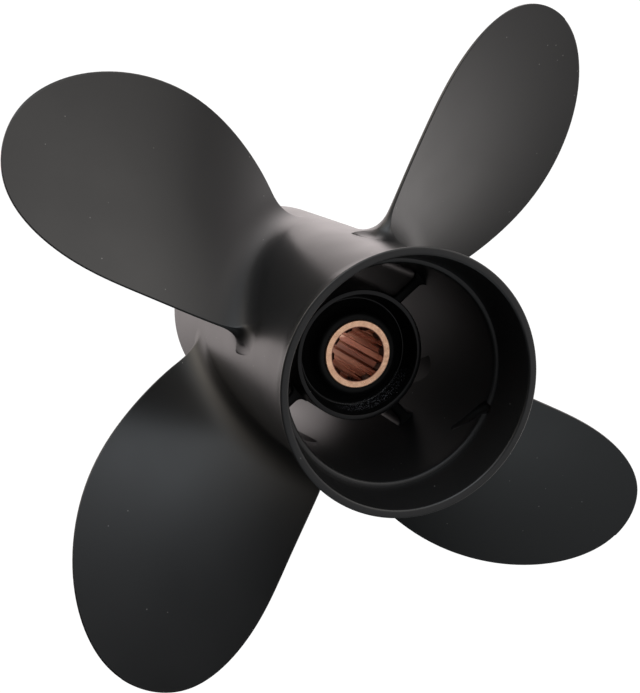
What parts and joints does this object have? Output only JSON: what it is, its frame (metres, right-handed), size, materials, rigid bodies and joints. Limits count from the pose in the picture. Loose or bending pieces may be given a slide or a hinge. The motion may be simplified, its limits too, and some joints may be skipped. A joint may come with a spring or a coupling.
{
  "type": "four-blade outboard motor propeller",
  "caption": "Right-hand screw propeller with broad rounded blades on a long tubular hub, open for the exhaust, with a rubber cushion and a splined sleeve for the shaft.",
  "frame": {"origin": "on the shaft axis, at the centre of the fore rim on which the propeller stands", "axes": "+Z along the shaft axis, aft and up as it stands; +X and +Y each look into the middle of one exhaust passage"},
  "size_m": [0.2252, 0.2252, 0.1284],
  "materials": {
    "black_paint": "satin black paint over an aluminium casting",
    "rubber": "moulded black rubber",
    "bronze": "turned bronze, warm copper colour"
  },
  "bodies": {
    "root": {"outer_hub": "black_paint", "flared_ring": "black_paint", "inner_hub": "black_paint", "rib_1": "black_paint", "rib_2": "black_paint", "rib_3": "black_paint", "rib_4": "black_paint", "blade_1": "black_paint", "blade_2": "black_paint", "blade_3": "black_paint", "blade_4": "black_paint", "rubber_cushion": "rubber", "splined_sleeve": "bronze"}
  },
  "joints": []
}
